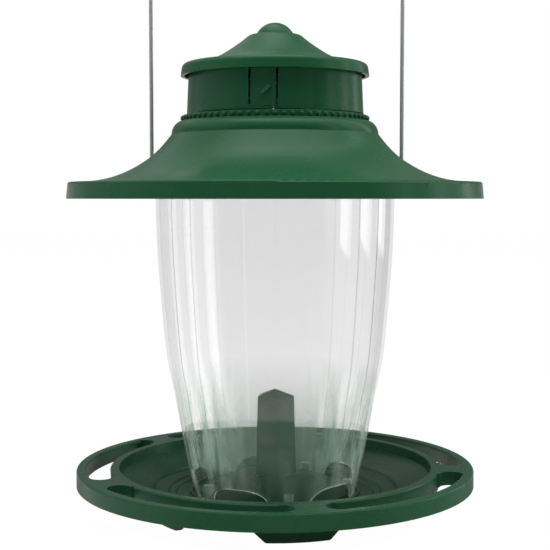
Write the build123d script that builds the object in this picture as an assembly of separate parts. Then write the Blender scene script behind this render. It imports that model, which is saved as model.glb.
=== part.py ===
from build123d import *

import os
from math import cos, radians, sin

# Hanging lantern seed feeder. Millimetres, +Z up, front towards -Y.
# The origin is the centre of the plane the five feet stand on.
# An azimuth is measured round Z from the front (-Y) and grows towards +X.

SECTORS = 5                 # the jar's foot and the tray repeat five times
SECTOR = 360 / SECTORS
BRIDGE_AZ = 10              # first bridge, foot and solid foot of the jar
PORT_AZ = BRIDGE_AZ + SECTOR / 2

WALL = 2.4                  # moulded green plastic
CLEAR_WALL = 2.0            # clear plastic of the jar

# Tray
TRAY_RIM_Z = 27.5
TRAY_RIM_INNER_R = 93.0
TRAY_RIM_OUTER_R = 98.2
TRAY_SKIRT_Z = 17.0         # bottom of the wall that hangs from the rim
TRAY_CENTRE_Z = 9.0         # floor inside the jar's collar
PERCH_INNER_R = 111.6
PERCH_OUTER_R = 118.0
PERCH_BOTTOM_Z = 18.0
BRIDGE_WIDTH = 16.0
BRIDGE_THICKNESS = 3.0
BRIDGE_DEPTH = 8.0          # of the side walls under a bridge
BRIDGE_WALL = 2.0
FOOT_R = 73.0
FOOT_WALL = 3.0
FOOT_HALF_ANGLE = 14.3      # at the ground
FOOT_FLARE = 7.5            # extra half angle where the foot meets the dish
FOOT_HEIGHT = 14.0

# Jar
JAR_BOTTOM_Z = 11.0
JAR_BOTTOM_R = 48.0
JAR_TOP_R = 70.5
JAR_SHOULDER_Z = 193.0
JAR_NECK_R = 44.6
JAR_LIP_R = 46.9
JAR_LIP_Z = 231.5
JAR_MOUTH_Z = 250.0
PORT_WIDTH = 37.0
PORT_TOP_Z = 22.0
PORT_CORNER = 7.0
TRAY_SCREW_R = 44.0         # pitch radius of the screws into the jar's lugs
LUG_R = 2.9

# Seed baffle and post
CONE_EDGE_R = 45.0
CONE_EDGE_Z = 13.0
CONE_TOP_Z = 22.5
POST_BOTTOM_R = 13.2        # to a corner of the pentagon
POST_TOP_R = 11.8
POST_SHOULDER_Z = 68.6
POST_APEX_Z = 72.5
POST_WALL = 2.0
POST_CORE_R = 4.0           # screw core up the middle of the hollow post

# Roof
ROOF_RIM_Z = 186.3
ROOF_RIM_R = 122.2
ROOF_BAND = 9.6
TORUS_Z = 223.9
TORUS_R = 61.0
LEDGE_Z = 231.6
BEAD_COUNT = 70
BEAD_R = 1.45
BEAD_RING_R = 54.3
NECK_PANELS = 4             # bowed panels of the neck drum, with a shallow valley between two
NECK_VALLEY_AZ = 25         # first valley
NECK_PANEL_LOW_R = 46.8     # radius of one panel's bow at the foot of the neck
NECK_PANEL_HIGH_R = 45.6    # and at its top
NECK_PANEL_OFFSET = 5.6     # how far the centre of the bow lies off the axis
NECK_VALLEY_R = 50.6        # at the foot of the neck
NECK_INNER_R = 48.4
NECK_BASE_Z = 235.0
NECK_TOP_Z = 262.5
NECK_PLATE = 2.0
NECK_OPENING_R = 33.0

# Latch
LATCH_AZ = -7.3             # front latch; the wire legs stand square to it
LATCH_WINDOW_HALF = 8.2
LATCH_HALF_WIDTH = 7.0
LATCH_FOOT_HALF_WIDTH = 8.08  # closes the slots below LATCH_FOOT_TOP
LATCH_FOOT_TOP = 238.0
LATCH_WINDOW_BOTTOM = 237.0
LATCH_WINDOW_TOP = 259.2
LATCH_FACE_LOW_R = 52.2      # press face at the foot of the neck
LATCH_FACE_HIGH_R = 51.0     # and at its top
LATCH_WALL = 2.0
LATCH_PIVOT_R = 49.0
LATCH_PIVOT_Z = 241.2
LATCH_PIN_R = 0.9
PIN_CLEARANCE = 0.05

# Cap
CAP_BRIM_R = 55.5
CAP_BRIM_Z = 258.0
CAP_APEX_Z = 289.5
DOME_R = 12.2
DOME_FOOT_ANGLE = 25.8      # from the horizontal, where the dome meets the cone's shoulder
CAP_BOSS_PITCH_R = 37.0
CAP_BOSSES = 3

# Wire bail
WIRE_R = 1.15
WIRE_X = 74.5
WIRE_HOOK_Z = 197.0
WIRE_HOOK_INNER_X = 62.5
WIRE_BEND = 4.0
WIRE_HOLE_R = 1.75
BAIL_STRAIGHT_TOP_Z = 396.0
BAIL_TOP_Z = 436.0
EYE_R = 9.0                 # centre line of the hanging eye


def ring(count, first_az):
    """Azimuths of count equal steps round Z."""
    return [first_az + i * 360 / count for i in range(count)]


def at_azimuth(shape, az):
    """Turn a shape drawn at the front (-Y) to an azimuth."""
    return Rot(0, 0, az) * shape


def turned(*edges):
    """Solid of revolution about Z from a closed outline of (radius, height)."""
    return revolve(Plane.XZ * make_face(edges), Axis.Z)


def plug(radius, low, high):
    """Upright cylinder on the axis between two heights."""
    return Pos(0, 0, low) * Cylinder(radius, high - low, align=(Align.CENTER, Align.CENTER, Align.MIN))


def taper(low_radius, high_radius, low, high):
    """Upright cone frustum on the axis between two heights."""
    frustum = Cone(low_radius, high_radius, high - low, align=(Align.CENTER, Align.CENTER, Align.MIN))
    return Pos(0, 0, low) * frustum


def block(x, y, z):
    """Box from three (low, high) pairs."""
    size = [high - low for low, high in (x, y, z)]
    return Pos(x[0], y[0], z[0]) * Box(*size, align=(Align.MIN, Align.MIN, Align.MIN))


def screw(head_r, head_height, shank_r, length, top_z):
    """Pan head screw driven upwards: head below, cross recess in the head."""
    head_z = top_z - length - head_height
    body = plug(head_r, head_z, head_z + head_height) + plug(shank_r, head_z, top_z)
    recess_r = head_r * 0.6
    recess = block((-recess_r, recess_r), (-0.25, 0.25), (head_z, head_z + head_height * 0.5))
    return body - recess - Rot(0, 0, 90) * recess


# ---------------------------------------------------------------- tray

def dish():
    """Shallow dish with a flat rim, a step over the feet and a collar for the jar."""
    floor_top = [
        (0, TRAY_CENTRE_Z), (47, TRAY_CENTRE_Z), (50, 10.6), (58.5, 10.6), (59.5, 11.4),
        (63, 11.6), (64, 12.4), (71.5, 13.6), (73, 15.0), (92, 22.0), (TRAY_RIM_INNER_R, TRAY_RIM_Z),
    ]
    below = [
        (TRAY_RIM_OUTER_R - 0.8, TRAY_RIM_Z), (TRAY_RIM_OUTER_R, TRAY_RIM_Z - 0.8),
        (TRAY_RIM_OUTER_R - 0.4, TRAY_SKIRT_Z), (TRAY_RIM_OUTER_R - 2.6, TRAY_SKIRT_Z),
        (TRAY_RIM_OUTER_R - 2.8, 20.2), (73, 12.2), (60, 8.6), (52, 8.0),
        (0, TRAY_CENTRE_Z - WALL),
    ]
    return turned(Polyline(floor_top + below, close=True))


def tray_collar():
    """Low wall round the foot of the jar that the seed runs over."""
    return plug(51.0, 10.0, 12.6) - plug(49.2, 9.0, 14.0)


def perch_ring():
    """Outer ring that birds stand on."""
    outline = [
        (PERCH_INNER_R, TRAY_RIM_Z), (PERCH_OUTER_R, TRAY_RIM_Z),
        (PERCH_OUTER_R, PERCH_BOTTOM_Z), (PERCH_INNER_R + 1.6, PERCH_BOTTOM_Z),
    ]
    solid = turned(Polyline(outline, close=True))
    rims = solid.edges().filter_by(GeomType.CIRCLE).group_by(Axis.Z)[-1]
    return fillet(rims, 1.2)


def bridge():
    """Web between dish rim and perch ring, wider where it meets them, over two side walls."""
    middle_r = (TRAY_RIM_OUTER_R + PERCH_INNER_R) / 2
    gap = (PERCH_INNER_R - TRAY_RIM_OUTER_R) / 2
    web = Pos(0, -middle_r) * Rectangle(BRIDGE_WIDTH + 2 * gap, 2 * gap + 4)
    for side in (-1, 1):
        web -= Pos(side * (BRIDGE_WIDTH / 2 + gap), -middle_r) * Circle(gap)
    walls = web - Pos(0, -middle_r) * Rectangle(BRIDGE_WIDTH - 2 * BRIDGE_WALL, 4 * gap)
    top = Pos(0, 0, TRAY_RIM_Z - BRIDGE_THICKNESS) * extrude(web, BRIDGE_THICKNESS)
    return top + Pos(0, 0, TRAY_RIM_Z - BRIDGE_DEPTH) * extrude(walls, BRIDGE_DEPTH)


def foot():
    """Curved wall under the dish that widens upwards."""
    low = FOOT_R * sin(radians(FOOT_HALF_ANGLE))
    high = FOOT_R * sin(radians(FOOT_HALF_ANGLE + FOOT_FLARE))
    side = Polyline((-low, 0), (low, 0), (high, FOOT_HEIGHT * 0.6), (high, FOOT_HEIGHT),
                    (-high, FOOT_HEIGHT), (-high, FOOT_HEIGHT * 0.6), close=True)
    outline = make_face(side)
    outline = fillet(outline.vertices().group_by(Axis.Y)[0], 2.0)
    slab = extrude(Plane.XZ * outline, FOOT_R + 10)
    wall = plug(FOOT_R + FOOT_WALL / 2, 0, FOOT_HEIGHT) - plug(FOOT_R - FOOT_WALL / 2, 0, FOOT_HEIGHT)
    return slab & wall


def tray_screw_places():
    """Centres of the screws that hold the jar, one in each solid foot of the jar."""
    return [(az, TRAY_SCREW_R) for az in ring(SECTORS, BRIDGE_AZ)]


def seed_tray():
    tray = dish() + tray_collar() + perch_ring()
    for az in ring(SECTORS, BRIDGE_AZ):
        tray += at_azimuth(bridge(), az)
        tray += at_azimuth(foot(), az)
    for az, pitch_r in tray_screw_places():
        tray -= at_azimuth(Pos(0, -pitch_r) * plug(1.5, 0, 20), az)
    return tray - plug(1.9, 0, 20)


def tray_screws():
    """One screw up into each lug at the jar's foot."""
    one = screw(head_r=2.8, head_height=1.8, shank_r=1.2, length=8.4, top_z=TRAY_CENTRE_Z - WALL + 8.4)
    return Compound([at_azimuth(Pos(0, -r) * one, az) for az, r in tray_screw_places()])


# ---------------------------------------------------------------- baffle

def pentagon(corner_r, z):
    """Pentagon with a corner at the bridge azimuth."""
    corners = [(corner_r * sin(radians(az)), -corner_r * cos(radians(az))) for az in ring(SECTORS, BRIDGE_AZ)]
    return Pos(0, 0, z) * fillet(Polygon(*corners, align=None).vertices(), corner_r * 0.12)


def post():
    """Hollow tapered column with a low pointed top."""
    outer = loft([pentagon(POST_BOTTOM_R, CONE_TOP_Z - 2), pentagon(POST_TOP_R, POST_SHOULDER_Z)])
    point = loft([pentagon(POST_TOP_R, POST_SHOULDER_Z), pentagon(0.6, POST_APEX_Z)])
    inner = loft([
        pentagon(POST_BOTTOM_R - POST_WALL, CONE_TOP_Z - 4),
        pentagon(POST_TOP_R - POST_WALL, POST_SHOULDER_Z - POST_WALL),
    ])
    return outer + point, inner


def seed_baffle():
    cone = turned(Polyline(
        (0, CONE_TOP_Z), (14, CONE_TOP_Z), (36, 16.4), (CONE_EDGE_R, CONE_EDGE_Z),
        (CONE_EDGE_R, CONE_EDGE_Z - WALL), (35, 14.0), (12, CONE_TOP_Z - WALL), (0, CONE_TOP_Z - WALL),
        close=True))
    column, hollow = post()
    baffle = cone + column - hollow
    baffle += plug(POST_CORE_R, TRAY_CENTRE_Z, POST_SHOULDER_Z)
    for az, pitch_r in tray_screw_places():
        baffle -= at_azimuth(Pos(0, -pitch_r) * plug(LUG_R + 0.6, 0, 30), az)
    return baffle - plug(1.6, 0, 30)


def baffle_screw():
    """Screw through the tray's centre into the post's core."""
    return screw(head_r=3.2, head_height=2.0, shank_r=1.5, length=20.0, top_z=TRAY_CENTRE_Z - WALL + 20.0)


# ---------------------------------------------------------------- jar

def jar_skin(inset):
    """Solid inside the jar's outer surface, drawn in by inset."""
    body = Spline(
        (JAR_BOTTOM_R - inset, JAR_BOTTOM_Z), (52.5 - inset, 30.3), (60.1 - inset, 71.5),
        (64.7 - inset, 96), (68.6 - inset, 141), (JAR_TOP_R - inset, JAR_SHOULDER_Z),
        tangents=((0.22, 1), (0, 1)))
    shoulder = Spline(
        (JAR_TOP_R - inset, JAR_SHOULDER_Z), (60 - inset * 0.7, 205.5 - inset * 0.7),
        (JAR_NECK_R - inset, 218),
        tangents=((0, 1), (0, 1)))
    neck = Polyline((JAR_NECK_R - inset, 218), (JAR_NECK_R - inset, JAR_MOUTH_Z), (0, JAR_MOUTH_Z),
                    (0, JAR_BOTTOM_Z), (JAR_BOTTOM_R - inset, JAR_BOTTOM_Z))
    return turned(body, shoulder, neck)


def feed_port():
    """Cutter for one arched opening at the jar's foot."""
    height = PORT_TOP_Z - JAR_BOTTOM_Z + 5
    arch = Pos(0, PORT_TOP_Z - height / 2) * RectangleRounded(PORT_WIDTH, height, PORT_CORNER)
    base = Pos(0, JAR_BOTTOM_Z - 2) * Rectangle(PORT_WIDTH, 12)
    return extrude(Plane.XZ * (arch + base), JAR_BOTTOM_R + 20)


def jar_lug():
    """Clear lug inside a solid foot of the jar that takes a tray screw."""
    return Pos(0, -TRAY_SCREW_R) * plug(LUG_R, TRAY_CENTRE_Z, 19)


def reservoir():
    jar = jar_skin(0) - jar_skin(CLEAR_WALL)
    jar -= plug(JAR_NECK_R - CLEAR_WALL, 215, JAR_MOUTH_Z + 1)
    jar -= plug(JAR_BOTTOM_R - CLEAR_WALL, JAR_BOTTOM_Z - 1, JAR_BOTTOM_Z + 0.5)
    for az in ring(SECTORS, PORT_AZ):
        jar -= at_azimuth(feed_port(), az)
    for az, _ in tray_screw_places():
        jar += at_azimuth(jar_lug(), az)
    for az, pitch_r in tray_screw_places():
        jar -= at_azimuth(Pos(0, -pitch_r) * plug(1.25, 0, 17), az)
    jar += plug(JAR_LIP_R, JAR_LIP_Z, JAR_LIP_Z + 1.8) - plug(JAR_NECK_R - 0.5, JAR_LIP_Z - 1, JAR_LIP_Z + 4)
    for side in (-1, 1):
        boss = Pos(side * 66.5, 0, WIRE_HOOK_Z) * Rot(0, 90, 0) * Cylinder(3.2, 5)
        hole = Pos(side * 66.5, 0, WIRE_HOOK_Z) * Rot(0, 90, 0) * Cylinder(WIRE_R + 0.1, 14)
        jar = jar + at_azimuth(boss, LATCH_AZ) - at_azimuth(hole, LATCH_AZ)
    return jar


# ---------------------------------------------------------------- roof

def roof_skirt():
    """Flared skirt with a rim band, a quarter round and a ledge under the beads."""
    rim_top = ROOF_RIM_Z + ROOF_BAND
    outer_band = Polyline((ROOF_RIM_R - WALL, ROOF_RIM_Z), (ROOF_RIM_R, ROOF_RIM_Z),
                          (ROOF_RIM_R - 0.8, rim_top - 1.2))
    band_round = ThreePointArc((ROOF_RIM_R - 0.8, rim_top - 1.2), (ROOF_RIM_R - 1.3, rim_top - 0.3),
                               (ROOF_RIM_R - 2.6, rim_top))
    flare = Spline((ROOF_RIM_R - 2.6, rim_top), (103, 197.2), (85.6, 203.0), (71.7, 212), (TORUS_R, TORUS_Z),
                   tangents=((-1, 0.05), (-0.62, 0.8)))
    quarter_round = ThreePointArc((TORUS_R, TORUS_Z), (59.4, 228.8), (55.9, LEDGE_Z))
    ledge = Polyline((55.9, LEDGE_Z), (BEAD_RING_R, LEDGE_Z), (BEAD_RING_R, NECK_BASE_Z - 0.2),
                     (BEAD_RING_R - 0.4, NECK_BASE_Z), (NECK_VALLEY_R - 0.5, NECK_BASE_Z + 0.9),
                     (NECK_INNER_R, NECK_BASE_Z + 0.9), (NECK_INNER_R, NECK_BASE_Z - 0.6),
                     (52.3, NECK_BASE_Z - 1.6), (52.3, LEDGE_Z - 2.0), (58.3, TORUS_Z - 0.5))
    inner_flare = Spline((58.3, TORUS_Z - 0.5), (69.9, 210.4), (84.6, 200.8), (102.4, 194.8),
                         (ROOF_RIM_R - 3.2, rim_top - WALL), tangents=((0.62, -0.8), (1, -0.05)))
    close_band = Line((ROOF_RIM_R - 3.2, rim_top - WALL), (ROOF_RIM_R - WALL, ROOF_RIM_Z))
    return turned(outer_band, band_round, flare, quarter_round, ledge, inner_flare, close_band)


def neck_drum():
    """Drum of four bowed panels over a round inside, closed by a top plate with a round opening."""
    height = NECK_TOP_Z - NECK_BASE_Z - 0.8
    panel_span = 360 / NECK_PANELS
    drum = plug(NECK_INNER_R + 0.8, 0, height)
    for az in ring(NECK_PANELS, NECK_VALLEY_AZ + panel_span / 2):
        bow = Pos(0, -NECK_PANEL_OFFSET) * taper(NECK_PANEL_LOW_R, NECK_PANEL_HIGH_R, 0, height)
        wedge = Polyline((0, 0), (-80, -80), (80, -80), close=True)
        drum += at_azimuth(bow & extrude(make_face(wedge), height), az)
    drum = Pos(0, 0, NECK_BASE_Z + 0.8) * drum
    drum -= plug(NECK_INNER_R, NECK_BASE_Z, NECK_TOP_Z - NECK_PLATE)
    return drum - plug(NECK_OPENING_R, NECK_BASE_Z, NECK_TOP_Z + 1)


def beads():
    """Row of beads round the foot of the neck."""
    height = (LEDGE_Z + NECK_BASE_Z) / 2
    one = Pos(0, -BEAD_RING_R, height) * Rot(0, 0, 90) * Sphere(BEAD_R)
    return [at_azimuth(one, az) for az in ring(BEAD_COUNT, 0)]


def latch_axle(radius, length):
    """Rod on the axis that the front latch rocks about."""
    return Pos(0, -LATCH_PIVOT_R, LATCH_PIVOT_Z) * Rot(0, 90, 0) * Cylinder(radius, length)


def latch_window():
    """Opening in the neck for one latch, with a blind hole in each side for its pivot."""
    half = LATCH_WINDOW_HALF
    window = block((-half, half), (-60, -46), (LATCH_WINDOW_BOTTOM, LATCH_WINDOW_TOP))
    pivot = latch_axle(LATCH_PIN_R + PIN_CLEARANCE, 2 * half + 4)
    leg_pocket = block((-6, 6), (-51.5, -46), (NECK_BASE_Z - 2, LATCH_WINDOW_BOTTOM))
    return window + pivot + leg_pocket


def latch_jambs():
    """Blocks inside the neck that carry a latch pivot."""
    low, high = LATCH_WINDOW_HALF - 0.2, LATCH_WINDOW_HALF + 3.2
    z = (LATCH_WINDOW_BOTTOM - 0.6, LATCH_PIVOT_Z + 2.4)
    return block((low, high), (-49.6, -46.6), z) + block((-high, -low), (-49.6, -46.6), z)


def cap_screw_places():
    return [(az, CAP_BOSS_PITCH_R) for az in ring(CAP_BOSSES, LATCH_AZ + 60)]


def roof_cover():
    roof = roof_skirt() + neck_drum()
    roof += beads()
    for az in (LATCH_AZ, LATCH_AZ + 180):
        roof += at_azimuth(latch_jambs(), az)
        roof -= at_azimuth(latch_window(), az)
    for az, pitch_r in cap_screw_places():
        roof -= at_azimuth(Pos(0, -pitch_r) * plug(1.5, NECK_TOP_Z - 5, NECK_TOP_Z + 1), az)
    for side in (-1, 1):
        roof -= at_azimuth(Pos(side * WIRE_X, 0) * plug(WIRE_HOLE_R, ROOF_RIM_Z, NECK_BASE_Z), LATCH_AZ)
    return roof


def latch_tab():
    """Rocking latch at the front: press face, pivot barrel with two pins, leg and nose."""
    half = LATCH_HALF_WIDTH
    z = (LATCH_WINDOW_BOTTOM + 0.2, LATCH_WINDOW_TOP - 1.0)
    shell = taper(LATCH_FACE_LOW_R, LATCH_FACE_HIGH_R, *z)
    shell -= taper(LATCH_FACE_LOW_R - LATCH_WALL, LATCH_FACE_HIGH_R - LATCH_WALL, *z)
    face = shell & block((-half, half), (-60, 0), (LATCH_WINDOW_BOTTOM, LATCH_WINDOW_TOP))
    foot_half = LATCH_FOOT_HALF_WIDTH
    face += shell & block((-foot_half, foot_half), (-60, 0), (LATCH_WINDOW_BOTTOM, LATCH_FOOT_TOP))
    barrel = latch_axle(1.6, 2 * half)
    pins = latch_axle(LATCH_PIN_R, 2 * LATCH_WINDOW_HALF + 3)
    leg = block((-5, 5), (-49.9, -48.1), (JAR_LIP_Z - 2.6, LATCH_PIVOT_Z))
    nose = block((-5, 5), (-49, -47.2), (JAR_LIP_Z - 2.6, JAR_LIP_Z - 0.6))
    bar = Pos(1.8, -LATCH_FACE_LOW_R + 0.7, 246.0) * Rot(0, -42, 0) * Rot(-30, 0, 0) * Box(6.4, 2.2, 2.4)
    return face + barrel + pins + leg + nose + bar


# ---------------------------------------------------------------- cap

def top_cap():
    """Overhanging cap with a rounded brim, a concave cone and a dome finial."""
    brim = Polyline((53.3, CAP_BRIM_Z), (CAP_BRIM_R, CAP_BRIM_Z), (CAP_BRIM_R - 0.7, 262.8))
    brim_round = ThreePointArc((CAP_BRIM_R - 0.7, 262.8), (53.6, 264.6), (51.0, 265.2))
    cone = Spline((51.0, 265.2), (41.0, 266.6), (32.0, 270.2), (24.7, 274.8), (16.9, 280.6),
                  tangents=((-1, 0.08), (-0.75, 0.62)))
    shoulder = ThreePointArc((16.9, 280.6), (15.3, 281.8), (13.2, 282.4))
    dome = CenterArc((0, CAP_APEX_Z - DOME_R), DOME_R, DOME_FOOT_ANGLE, 90 - DOME_FOOT_ANGLE)
    dome_foot = Line((13.2, 282.4), dome @ 0)
    inside = Polyline((0, CAP_APEX_Z), (0, 280), (11, 280), (23.5, 272.4), (31.5, 267.7), (41, 264.4),
                      (51.0, 263.2), (53.3, 262), (53.3, CAP_BRIM_Z))
    cap = turned(brim, brim_round, cone, shoulder, dome_foot, dome, inside)
    for az, pitch_r in cap_screw_places():
        cap += at_azimuth(Pos(0, -pitch_r) * plug(3.0, NECK_TOP_Z, 266.6), az)
        cap -= at_azimuth(Pos(0, -pitch_r) * plug(1.05, NECK_TOP_Z - 1, 266.2), az)
    return cap


def cap_screws():
    """Screws up through the neck's top plate into the cap's bosses."""
    one = screw(head_r=2.4, head_height=1.5, shank_r=1.0, length=5.4, top_z=NECK_TOP_Z - NECK_PLATE + 5.4)
    return Compound([at_azimuth(Pos(0, -r) * one, az) for az, r in cap_screw_places()])


# ---------------------------------------------------------------- wire

def wire_side(side):
    """Half of the bail: hook, upright leg, sloping arm and its share of the eye."""
    x = side * WIRE_X
    hook_end = (side * WIRE_HOOK_INNER_X, 0, WIRE_HOOK_Z)
    eye_foot = (side * 2.2, 0, BAIL_TOP_Z - 2)
    return [hook_end, (x, 0, WIRE_HOOK_Z), (x, 0, BAIL_STRAIGHT_TOP_Z), eye_foot]


def hanger_wire():
    left, right = wire_side(-1), wire_side(1)
    eye_z = BAIL_TOP_Z + EYE_R
    legs = []
    for points in (left, right):
        legs.append(FilletPolyline(*points, radius=WIRE_BEND))
    eye = ThreePointArc(left[-1], (0, 0, eye_z + EYE_R), right[-1])
    path = Wire([*legs[0].edges(), *eye.edges(), *legs[1].edges()])
    start = Plane(origin=left[0], z_dir=(-1, 0, 0))
    return at_azimuth(sweep(start * Circle(WIRE_R), path=path, transition=Transition.ROUND), LATCH_AZ)


PIECES = {
    "seed_tray": seed_tray,
    "tray_screws": tray_screws,
    "seed_baffle": seed_baffle,
    "baffle_screw": baffle_screw,
    "reservoir": reservoir,
    "hanger_wire": hanger_wire,
    "roof_cover": roof_cover,
    "top_cap": top_cap,
    "cap_screws": cap_screws,
    "latch_tab_front": lambda: at_azimuth(latch_tab(), LATCH_AZ),
    "latch_tab_rear": lambda: at_azimuth(latch_tab(), LATCH_AZ + 180),
}

os.makedirs("parts", exist_ok=True)
for name, build in PIECES.items():
    piece = build()
    piece.label = name
    export_step(piece, f"parts/{name}.step")
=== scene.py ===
from math import cos, pi, radians, sin

import bpy
from mathutils import Matrix, Vector


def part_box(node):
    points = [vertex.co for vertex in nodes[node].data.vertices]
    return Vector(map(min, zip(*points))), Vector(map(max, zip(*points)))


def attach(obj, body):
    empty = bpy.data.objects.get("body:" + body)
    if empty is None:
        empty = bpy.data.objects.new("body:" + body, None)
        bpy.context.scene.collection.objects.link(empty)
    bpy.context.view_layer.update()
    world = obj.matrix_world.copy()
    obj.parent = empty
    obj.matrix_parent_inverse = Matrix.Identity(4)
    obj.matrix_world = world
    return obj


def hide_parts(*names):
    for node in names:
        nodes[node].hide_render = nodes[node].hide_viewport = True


# Hanging lantern seed feeder. Metres, +Z up, front towards -Y, as the CAD frame.
# The moulded green parts, the wire and the screws are the CAD's own meshes with procedural materials.
# The clear jar is rebuilt here with its twenty-six flutes, on the CAD jar's dimensions.
# An azimuth is measured round Z from the front (-Y) and grows towards +X.

MM = 0.001

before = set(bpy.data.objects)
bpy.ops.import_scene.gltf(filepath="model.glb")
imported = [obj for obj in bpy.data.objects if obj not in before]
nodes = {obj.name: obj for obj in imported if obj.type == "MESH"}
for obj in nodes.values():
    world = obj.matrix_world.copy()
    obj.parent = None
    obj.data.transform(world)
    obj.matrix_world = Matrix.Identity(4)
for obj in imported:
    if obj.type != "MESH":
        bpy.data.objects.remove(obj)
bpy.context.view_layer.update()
scene = bpy.context.scene


# ---------------------------------------------------------------- shader helper

class Shader:
    """Nodes of a material or world, added one by one. An input is a value or another node's output."""

    def __init__(self, owner):
        self.owner = bpy.data.materials.new(owner) if isinstance(owner, str) else owner
        self.owner.use_nodes = True
        self.tree = self.owner.node_tree
        self.tree.nodes.clear()

    def put(self, socket, value):
        if isinstance(value, bpy.types.NodeSocket):
            self.tree.links.new(value, socket)
        else:
            socket.default_value = value

    def add(self, kind, inputs=None, **settings):
        node = self.tree.nodes.new("ShaderNode" + kind)
        for name, value in settings.items():
            setattr(node, name, value)
        for name, value in (inputs or {}).items():
            self.put(node.inputs[name], value)
        return node

    def noise(self, scale, detail=2.0, where=None):
        """Noise over the object's own coordinates, 0 to 1."""
        if where is None:
            where = self.add("TexCoord").outputs["Object"]
        return self.add("TexNoise", {"Vector": where, "Scale": scale, "Detail": detail}).outputs["Fac"]

    def ramp(self, value, start, end, low, high, kind="LINEAR"):
        """Number that runs from low to high as value runs from start to end, and is level beyond them."""
        limits = {"Value": value, "From Min": start, "From Max": end, "To Min": low, "To Max": high}
        return self.add("MapRange", limits, interpolation_type=kind).outputs["Result"]

    def step(self, value, start, end, low, high):
        """Ramp with soft ends."""
        return self.ramp(value, start, end, low, high, kind="SMOOTHSTEP")

    def band(self, value, low, high, soft):
        """1 between low and high, 0 outside, with soft borders."""
        rising = self.step(value, low - soft / 2, low + soft / 2, 0, 1)
        return self.math("MULTIPLY", rising, self.step(value, high - soft / 2, high + soft / 2, 1, 0))

    def math(self, operation, *values):
        """Result of a math node on up to three numbers or outputs."""
        return self.add("Math", dict(enumerate(values)), operation=operation).outputs["Value"]

    def colour_mix(self, factor, a, b):
        node = self.add("Mix", data_type="RGBA")
        sockets = {s.identifier: s for s in node.inputs}
        for identifier, value in (("Factor_Float", factor), ("A_Color", a), ("B_Color", b)):
            self.put(sockets[identifier], value)
        return next(s for s in node.outputs if s.identifier == "Result_Color")

    def mix(self, factor, a, b):
        return self.add("MixShader", {"Fac": factor, 1: a, 2: b}).outputs["Shader"]

    def finish(self, surface, output="OutputMaterial"):
        self.add(output, {"Surface": surface})
        return self.owner


def rgb(red, green, blue):
    return (red, green, blue, 1.0)


# ---------------------------------------------------------------- materials

GREEN_DARK = rgb(0.0080, 0.0510, 0.0200)
GREEN_LIGHT = rgb(0.0115, 0.0640, 0.0270)

FACE_GLOSS = 0.058                  # reflectance of the clear skin seen squarely
EDGE_GLOSS = 0.75                   # and what it gains by its edge
TINT_HEIGHTS = (50 * MM, 190 * MM)  # the skin deepens between these, from the first tint to the second
TINTS = (0.982, 0.968)
HAZE_COLOUR = rgb(0.68, 0.86, 0.74)
HAZE_HEIGHTS = (35 * MM, 85 * MM)   # full below the first, gone above the second
HAZE_LEVEL = 0.12
HAZE_LEAST = 0.02
STREAK_SWING = 0.55                 # how far the streaks go above and below that level at the sides
FAR_WALL_HAZE = 3.0                 # times that of the near wall


def green_plastic():
    """Semi-gloss moulded plastic: slight colour drift, fine surface grain and softly rounded edges."""
    s = Shader("green_plastic")
    rounded = s.add("Bevel", {"Radius": 0.45 * MM}, samples=4)
    grain = s.add("Bump", {"Strength": 0.10, "Distance": 0.05 * MM, "Height": s.noise(1400),
                           "Normal": rounded.outputs["Normal"]})
    surface = s.add("BsdfPrincipled", {
        "Base Color": s.colour_mix(s.noise(14, 3), GREEN_DARK, GREEN_LIGHT),
        "Roughness": s.ramp(s.noise(45, 4), 0, 1, 0.24, 0.32),
        "IOR": 1.5, "Specular IOR Level": 0.2,
        "Normal": grain.outputs["Normal"]})
    return s.finish(surface.outputs["BSDF"])


def see_through(s, facing, height):
    """Clear skin, a little greyer high up, with painted shade along its ridges where they turn away from the
    eye and a painted highlight on the mould seam.
    """
    tint = s.ramp(height, *TINT_HEIGHTS, *TINTS)
    # painted shade on the ridges, strongest where the skin turns partly away from the eye, standing in for
    # refraction
    painted_shade_by_facing = s.math("MULTIPLY", s.ramp(facing, 0.10, 0.50, 0.015, 0.60), s.ramp(facing, 0.50, 0.70, 1.0, 0.15))
    weaker_behind = s.math("MULTIPLY_ADD", s.add("NewGeometry").outputs["Backfacing"], -0.8, 1.0)
    # the ridge attribute holds the painted shade of the ridges and the painted highlight of the seam, weaker
    # on skin seen from behind
    ridge = s.math("MULTIPLY", s.add("Attribute", attribute_name="ridge").outputs["Fac"], weaker_behind)
    tint_with_painted_marks = s.math("SUBTRACT", tint, s.math("MULTIPLY", ridge, painted_shade_by_facing))
    grey = s.add("CombineColor", {"Red": tint_with_painted_marks, "Green": tint_with_painted_marks, "Blue": tint_with_painted_marks})
    return s.add("BsdfTransparent", {"Color": grey.outputs["Color"]}).outputs["BSDF"]


def haze_share(s, facing, height, where):
    """Haze at the jar's foot: even in front, in upright streaks at the sides, stronger in the far wall."""
    upright = s.add("Mapping", {"Vector": where, "Scale": (1, 1, 0.04)}).outputs["Vector"]
    streaks = s.ramp(s.noise(150, 4, upright), 0, 1, -STREAK_SWING, STREAK_SWING)
    level = s.math("MULTIPLY_ADD", streaks, s.ramp(facing, 0.03, 0.30, 0, 1), HAZE_LEVEL)
    skins_in_front = s.add("LightPath").outputs["Transparent Depth"]
    far_wall = s.ramp(skins_in_front, 1, 2, 1, FAR_WALL_HAZE)
    share = s.math("MULTIPLY", s.ramp(height, *HAZE_HEIGHTS, 1, 0), far_wall)
    return s.math("MULTIPLY", s.math("MAXIMUM", level, HAZE_LEAST), share)


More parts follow.
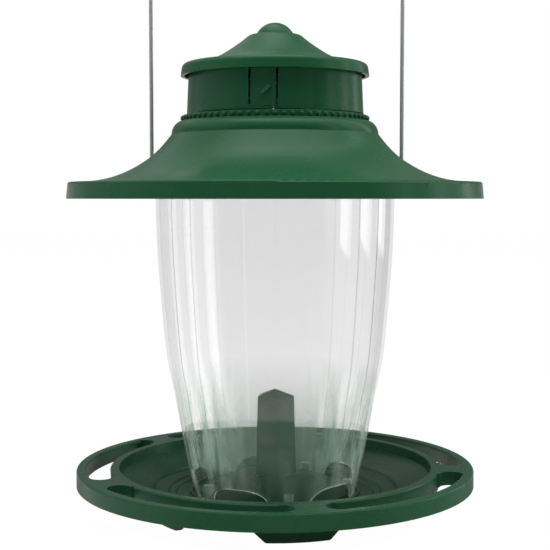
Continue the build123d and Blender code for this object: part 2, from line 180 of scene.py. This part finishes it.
def clear_plastic():
    """Clear moulded plastic as a thin skin: see-through, with a Fresnel gloss, and hazy at the foot."""
    s = Shader("clear_plastic")
    facing = s.add("LayerWeight", {"Blend": 0.5}).outputs["Facing"]
    where = s.add("TexCoord").outputs["Object"]
    height = s.add("SeparateXYZ", {"Vector": where}).outputs["Z"]
    fresnel = s.math("MULTIPLY_ADD", s.math("POWER", facing, 5.0), EDGE_GLOSS, FACE_GLOSS)
    smear = s.ramp(s.noise(40), 0, 1, 0.02, 0.05)
    gloss = s.add("BsdfGlossy", {"Color": rgb(1, 1, 1), "Roughness": smear})
    skin = s.mix(fresnel, see_through(s, facing, height), gloss.outputs["BSDF"])
    haze = s.add("BsdfDiffuse", {"Color": HAZE_COLOUR})
    return s.finish(s.mix(haze_share(s, facing, height, where), skin, haze.outputs["BSDF"]))


def clear_edge():
    """Cut edge of the clear plastic round the feed ports, which catches the light."""
    s = Shader("clear_edge")
    clear = s.add("BsdfTransparent", {"Color": rgb(0.88, 0.90, 0.89)})
    frost = s.add("BsdfDiffuse", {"Color": rgb(0.86, 0.90, 0.88)})
    frosted = s.ramp(s.noise(90), 0, 1, 0.45, 0.85)
    return s.finish(s.mix(frosted, clear.outputs["BSDF"], frost.outputs["BSDF"]))


def steel(name, colour, roughness):
    """Drawn or plated steel with fine lengthwise scratches."""
    s = Shader(name)
    lengthwise = s.add("Mapping", {"Vector": s.add("TexCoord").outputs["Object"], "Scale": (1, 1, 0.06)})
    streak = s.noise(2500, 2, lengthwise.outputs["Vector"])
    scratches = s.add("Bump", {"Strength": 0.05, "Distance": 0.02 * MM, "Height": streak})
    darker = rgb(*[c * 0.85 for c in colour])
    surface = s.add("BsdfPrincipled", {
        "Base Color": s.colour_mix(s.noise(120), darker, rgb(*colour)), "Metallic": 0.55,
        "Roughness": s.ramp(streak, 0, 1, roughness - 0.06, roughness + 0.08),
        "Normal": scratches.outputs["Normal"]})
    return s.finish(surface.outputs["BSDF"])


def dress(names, material):
    """Give CAD nodes a material."""
    for name in names:
        data = nodes[name].data
        data.materials.clear()
        data.materials.append(material)


# ---------------------------------------------------------------- mesh helpers

def new_mesh(name, vertices, faces, smooth=True):
    mesh = bpy.data.meshes.new(name)
    mesh.from_pydata(vertices, [], faces)
    mesh.validate()
    if smooth:
        mesh.polygons.foreach_set("use_smooth", [True] * len(mesh.polygons))
    piece = bpy.data.objects.new(name, mesh)
    scene.collection.objects.link(piece)
    return piece


def smooth_curve(points, per_span):
    """Points along a smooth curve through the given ones (Catmull-Rom)."""
    padded = [points[0]] + list(points) + [points[-1]]
    curve = []
    for a, b, c, d in zip(padded, padded[1:], padded[2:], padded[3:]):
        for step in range(per_span):
            t = step / per_span
            curve.append(tuple(
                0.5 * (2 * q + (r - p) * t + (2 * p - 5 * q + 4 * r - s) * t * t
                       + (3 * q - p - 3 * r + s) * t ** 3)
                for p, q, r, s in zip(a, b, c, d)))
    curve.append(points[-1])
    return curve


def polar(radius, azimuth, height):
    """Point at an azimuth in radians."""
    return (radius * sin(azimuth), -radius * cos(azimuth), height)


def grid_faces(rows, columns, offset=0, flip=False):
    """Quads of a grid whose columns close on themselves."""
    faces = []
    for i in range(rows - 1):
        for j in range(columns):
            k = (j + 1) % columns
            quad = (offset + i * columns + j, offset + i * columns + k,
                    offset + (i + 1) * columns + k, offset + (i + 1) * columns + j)
            faces.append(quad[::-1] if flip else quad)
    return faces


def turned_pieces(name, profile, places, capped):
    """One mesh of equal turned solids: rows of (radius, distance) round the Z axis of each place."""
    columns = 24
    vertices = []
    faces = []
    for place in places:
        first = len(vertices)
        for radius, along in profile:
            for j in range(columns):
                angle = 2 * pi * j / columns
                vertices.append(place @ Vector((radius * cos(angle), radius * sin(angle), along)))
        last = len(vertices) - columns
        faces += grid_faces(len(profile), columns, first)
        if capped:
            faces.append(tuple(reversed(range(first, first + columns))))
            faces.append(tuple(range(last, last + columns)))
        else:
            for j in range(columns):
                k = (j + 1) % columns
                faces.append((last + j, last + k, first + k, first + j))
    return new_mesh(name, vertices, faces, smooth=False)


# ---------------------------------------------------------------- jar

FLUTES = 26
FLUTE_DEPTH = 0.20 * MM
INNER_FLUTE_SHARE = 0.55      # the flutes are shallower inside
RIDGE_SHADE_WIDTH = 0.045           # half the width of the painted shade along a ridge, as a share of a flute
SEAM_RIDGE = 25               # ridge where the mould seam runs
SEAM_HIGHLIGHT = -4                # below 0, so that the seam gets a painted highlight, a light line, instead of painted shade
JAR_WALL = 2.0 * MM
JAR_COLUMNS = FLUTES * 24
PORTS = 5
PORT_AZ = radians(46)         # first port
PORT_HALF = radians(22.5)
PORT_HEIGHT = 11 * MM
PORT_ZONE = 30 * MM           # rows below this height follow the ports' arches
FOOT_SLOPE = 0.232            # how fast the wall leans out there
LUG_BELOW_FOOT = 2 * MM       # the screw lugs reach this far below the jar's skin
LUG_PITCH = 44 * MM
LUG_RADIUS = 2.9 * MM
LUG_LENGTH = 10 * MM
LUG_ROOF = 2 * MM             # left over the end of the screw's bore
SCREW_BORE = 1.25 * MM
WIRE_AZ = radians(-7.3)       # the wire's two legs stand turned by this from the X axis
HOOK_HEIGHT = 197 * MM
HOOK_BORE = 1.25 * MM
BOSS_PITCH = 66.5 * MM
BOSS_RADIUS = 3.2 * MM
BOSS_LENGTH = 5 * MM
jar_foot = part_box("reservoir")[0].z + LUG_BELOW_FOOT

# (radius, height above the jar's foot) of the outer skin, in millimetres
JAR_BODY = [(48.0, 0), (52.5, 19.3), (56.3, 40), (60.1, 60.5), (64.7, 85), (68.6, 130), (70.2, 160),
            (70.5, 182)]
JAR_SHOULDER = [(70.5, 182), (69.6, 187), (66.3, 191.5), (60, 194.5), (51, 198.5), (46, 202.5), (44.6, 207)]
JAR_NECK = [(44.6, 219.8), (44.9, 220.5), (46.9, 220.7), (46.9, 222.1), (44.9, 222.3), (44.6, 223),
            (44.6, 237.8), (44.4, 238.6), (43.8, 239.0)]
FLUTE_FADE = (176, 190)       # heights between which the flutes fade out over the shoulder


def jar_outline():
    curve = smooth_curve(JAR_BODY, 12)[:-1] + smooth_curve(JAR_SHOULDER, 5) + JAR_NECK
    return [(r * MM, jar_foot + h * MM) for r, h in curve]


def flute_share(height):
    """How deep the flutes are at a height: full on the body, fading out over the shoulder."""
    fade_start, fade_end = [jar_foot + h * MM for h in FLUTE_FADE]
    return max(0.0, min(1.0, (fade_end - height) / (fade_end - fade_start)))


def flute(azimuth, height):
    """How far the skin is drawn in between two ridges."""
    t = (azimuth * FLUTES / (2 * pi)) % 1.0
    scallop = 1 - (2 * t - 1) ** 2
    return FLUTE_DEPTH * scallop * flute_share(height)


def ridge_shade_and_seam_highlight(azimuth):
    """Share of painted shade at an azimuth: 1 on a ridge, falling to 0 a short way to either side of it; on
    the mould seam a negative share, which paints a highlight.
    """
    turns = azimuth * FLUTES / (2 * pi)
    mark = max(0.0, 1 - abs((turns + 0.5) % 1.0 - 0.5) / RIDGE_SHADE_WIDTH)
    return SEAM_HIGHLIGHT * mark if abs(turns - SEAM_RIDGE) < 0.5 else mark


def port_arch(azimuth):
    """Height of the jar's bottom edge above its foot: an arch over each port, 0 between them."""
    sector = 2 * pi / PORTS
    offset = (azimuth - PORT_AZ + sector / 2) % sector - sector / 2
    u = abs(offset) / PORT_HALF
    if u >= 1:
        return 0.0
    return PORT_HEIGHT * (1 - u ** 3) ** 0.5


def jar_skin(outline, azimuths, inset, share):
    """Vertices, and the painted ridge shade and seam highlight, of one side of the wall, row by row from the
    foot up.
    """
    vertices = []
    painted_marks = []
    for radius, height in outline:
        follow = max(0.0, 1 - (height - jar_foot) / PORT_ZONE)
        for azimuth in azimuths:
            rise = port_arch(azimuth) * follow
            r = radius + rise * FOOT_SLOPE - inset - share * flute(azimuth, height)
            vertices.append(polar(r, azimuth, height + rise))
            painted_marks.append(ridge_shade_and_seam_highlight(azimuth) * flute_share(height))
    return vertices, painted_marks


def make_jar(material):
    outline = jar_outline()
    rows, columns = len(outline), JAR_COLUMNS
    azimuths = [2 * pi * j / columns for j in range(columns)]
    outer, painted_marks = jar_skin(outline, azimuths, 0.0, 1.0)
    inner, _ = jar_skin(outline, azimuths, JAR_WALL, INNER_FLUTE_SHARE)
    start = rows * columns
    faces = grid_faces(rows, columns) + grid_faces(rows, columns, start, flip=True)
    top = start - columns
    for j in range(columns):
        k = (j + 1) % columns
        faces.append((k, j, start + j, start + k))
        faces.append((top + j, top + k, start + top + k, start + top + j))
    jar = new_mesh("jar", outer + inner, faces)
    # ridge attribute for the clear shader: painted shade along the ridges, a painted highlight on the seam,
    # none on the inner skin
    ridge = jar.data.attributes.new("ridge", "FLOAT", "POINT")
    ridge.data.foreach_set("value", painted_marks + [0.0] * len(inner))
    jar.data.materials.append(material)
    jar.data.materials.append(clear_edge())
    for face in jar.data.polygons:
        low_edge = all(vertex % start < columns for vertex in face.vertices)
        face.material_index = 1 if low_edge else 0
    keep_as_jar(jar)


def keep_as_jar(piece):
    """Let a clear piece stand for the CAD's jar."""
    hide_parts("reservoir")
    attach(piece, "base")


def make_jar_fittings(material):
    """Lugs at the jar's foot for the tray screws, and bosses in its shoulder for the wire's hooks."""
    lug = [(SCREW_BORE, LUG_LENGTH - LUG_ROOF), (SCREW_BORE, 0), (LUG_RADIUS, 0), (LUG_RADIUS, LUG_LENGTH)]
    between_ports = [PORT_AZ + (i + 0.5) * 2 * pi / PORTS for i in range(PORTS)]
    lug_places = [Matrix.Translation(polar(LUG_PITCH, az, jar_foot - LUG_BELOW_FOOT)) for az in between_ports]
    boss = [(HOOK_BORE, 0), (BOSS_RADIUS, 0), (BOSS_RADIUS, BOSS_LENGTH), (HOOK_BORE, BOSS_LENGTH)]
    boss_places = []
    for side in (-1, 1):
        start = Vector((side * BOSS_PITCH - BOSS_LENGTH / 2, 0, HOOK_HEIGHT))
        boss_places.append(Matrix.Rotation(WIRE_AZ, 4, "Z") @ Matrix.Translation(start)
                           @ Matrix.Rotation(radians(90), 4, "Y"))
    for piece in (turned_pieces("jar_lugs", lug, lug_places, capped=True),
                  turned_pieces("jar_hook_bosses", boss, boss_places, capped=False)):
        piece.data.materials.append(material)
        keep_as_jar(piece)


# ---------------------------------------------------------------- studio

CAMERA_DISTANCE = 0.7171        # from the feeder's axis
CAMERA_ABOVE_RIM = 0.0007       # above the roof's lower edge
CAMERA_PITCH = 3.676            # degrees below the horizon
CAMERA_LENS = 78.96             # on a 36 mm sensor

FLOOR_HALF = 6.0
FLOOR_GLOW = 0.985              # what the camera sees of the floor where nothing shades it

# What glossy surfaces see, by direction: degrees round from the front and above the horizon
LEFT_WALL = 0.78
RIGHT_WALL = 0.22
RIGHT_STRIPS = [(67.5, 75.6, -8.0), (93.3, 103.4, -6.8), (121.9, 131, -5.6)]   # and where their feet end
STRIP_LENGTH = 70
STRIP_SLANT = 0.19
STRIP_GLOW = 2.3
BACK_GLOW = 0.9
TABLE_GLOW = 0.75
TOP_GLOW = 3.0

# What the floor and matt surfaces get from the world, in front and behind
SOFT_FRONT = 0.20
SOFT_BACK = 0.75

# (name, place, width, height, power)
SOFTBOXES = [
    ("softbox_left", (-1.3, 0.15, 0.55), 0.5, 1.2, 5.0),
    ("softbox_right", (1.3, 0.35, 0.45), 0.5, 1.2, 19),
    ("softbox_top", (0, -0.3, 1.6), 1.4, 1.0, 35),
    ("softbox_front", (-0.4, -1.6, 0.3), 0.8, 0.5, 3.2),
]
LIGHT_TARGET = (0, 0, 0.17)


def floor_material():
    """White table: the camera sees it glow as white as the background, with only a faint shadow on it."""
    s = Shader("floor")
    speck = s.noise(30, 3)
    table = s.add("BsdfDiffuse", {"Color": s.colour_mix(speck, rgb(0.78, 0.78, 0.78), rgb(0.84, 0.84, 0.84))})
    faint = s.colour_mix(speck, rgb(0.02, 0.02, 0.02), rgb(0.024, 0.024, 0.024))
    shadow = s.add("BsdfDiffuse", {"Color": faint})
    glow = s.add("Emission", {"Color": rgb(1, 1, 1), "Strength": FLOOR_GLOW})
    shown = s.add("AddShader", {0: shadow.outputs["BSDF"], 1: glow.outputs["Emission"]})
    to_camera = s.add("LightPath").outputs["Is Camera Ray"]
    return s.finish(s.mix(to_camera, table.outputs["BSDF"], shown.outputs["Shader"]))


def make_floor():
    half = FLOOR_HALF
    floor = new_mesh("floor", [(-half, -half, 0), (half, -half, 0), (half, half, 0), (-half, half, 0)],
                     [(0, 1, 2, 3)], smooth=False)
    floor.data.materials.append(floor_material())
    floor.visible_glossy = False


def side_walls(s, turn, rise):
    """Bright wall on the left, dimmer above the horizon; grey wall with slanted strips on the right."""
    dimmed = s.math("MULTIPLY_ADD", s.band(rise, 3, 24, 4), -0.5, 1.0)
    left = s.math("MULTIPLY", s.band(turn, -205, -54, 5), LEFT_WALL)
    room = s.math("MULTIPLY", left, dimmed)
    room = s.math("ADD", room, s.math("MULTIPLY", s.step(turn, 58, 66, 0, 1), RIGHT_WALL))
    slanted = s.math("MULTIPLY_ADD", turn, STRIP_SLANT, rise)
    for low, high, foot in RIGHT_STRIPS:
        cut = foot + STRIP_SLANT * high
        upright = s.band(turn, low, high, 1.5)
        strip = s.math("MULTIPLY", upright, s.band(slanted, cut, cut + STRIP_LENGTH, 1.0))
        room = s.math("ADD", room, s.math("MULTIPLY", strip, STRIP_GLOW))
    return room


def reflected_room(s, turn, rise):
    """Strength of the world for glossy rays: side walls, a bright back, a pale table and a glow overhead."""
    away = s.math("ABSOLUTE", turn)
    walls = s.math("MULTIPLY", side_walls(s, turn, rise), s.step(away, 140, 158, 1, 0.8))
    back = s.math("MULTIPLY", s.step(away, 138, 160, 0, BACK_GLOW), s.step(rise, 0, 6, 1, 0.27))
    room = s.math("ADD", s.math("MAXIMUM", walls, back), s.step(rise, -3, -34, 0, TABLE_GLOW))
    above_tray = s.math("MULTIPLY_ADD", s.band(rise, 10, 16, 3), -0.4, 1.0)
    shaded = s.math("MULTIPLY", above_tray, s.step(rise, -13.2, -11.4, 0.25, 1))
    room = s.math("MULTIPLY", room, s.math("MAXIMUM", shaded, s.step(away, 135, 150, 1, 0)))
    return s.math("ADD", room, s.step(rise, 50, 80, 0.02, TOP_GLOW))


def make_world():
    """White for the camera, the room for reflections, and soft light that is weaker from the front."""
    world = bpy.data.worlds.new("studio")
    scene.world = world
    s = Shader(world)
    way = s.add("SeparateXYZ", {0: s.add("TexCoord").outputs["Generated"]}).outputs
    turn = s.math("MULTIPLY", s.math("ARCTAN2", way["X"], s.math("MULTIPLY", way["Y"], -1.0)), 180 / pi)
    rise = s.math("MULTIPLY", s.math("ARCSINE", way["Z"]), 180 / pi)
    mirrored = s.add("Background", {"Strength": reflected_room(s, turn, rise)})
    soft = s.add("Background", {"Strength": s.step(way["Y"], -0.6, 0.5, SOFT_FRONT, SOFT_BACK)})
    white = s.add("Background", {"Color": rgb(1, 1, 1), "Strength": 1.0})
    path = s.add("LightPath").outputs
    lit = s.mix(path["Is Glossy Ray"], soft.outputs[0], mirrored.outputs[0])
    s.finish(s.mix(path["Is Camera Ray"], lit, white.outputs[0]), "OutputWorld")


def make_lights():
    """Rectangular lights aimed at the feeder, unseen by the camera and by reflections."""
    for name, place, width, height, power in SOFTBOXES:
        data = bpy.data.lights.new(name, "AREA")
        data.shape = "RECTANGLE"
        data.size, data.size_y = width, height
        data.energy = power
        light = bpy.data.objects.new(name, data)
        light.location = place
        light.rotation_euler = (Vector(LIGHT_TARGET) - Vector(place)).to_track_quat("-Z", "Y").to_euler()
        light.visible_camera = False
        light.visible_glossy = False
        scene.collection.objects.link(light)


def make_camera():
    data = bpy.data.cameras.new("camera")
    data.sensor_width = 36
    data.lens = CAMERA_LENS
    data.clip_start = 0.01
    camera = bpy.data.objects.new("camera", data)
    camera.location = (0, -CAMERA_DISTANCE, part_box("roof_cover")[0].z + CAMERA_ABOVE_RIM)
    camera.rotation_euler = (radians(90 - CAMERA_PITCH), 0, 0)
    scene.collection.objects.link(camera)
    scene.camera = camera


# ---------------------------------------------------------------- build

dress(["seed_tray", "seed_baffle", "roof_cover", "top_cap", "latch_tab_front", "latch_tab_rear"],
      green_plastic())
dress(["hanger_wire"], steel("steel_wire", (0.46, 0.46, 0.47), 0.45))
dress(["tray_screws", "baffle_screw", "cap_screws"],
      steel("zinc_steel", (0.60, 0.60, 0.57), 0.30))
clear = clear_plastic()
make_jar(clear)
make_jar_fittings(clear)
make_floor()
make_world()
make_lights()
make_camera()
scene.view_settings.view_transform = "Standard"
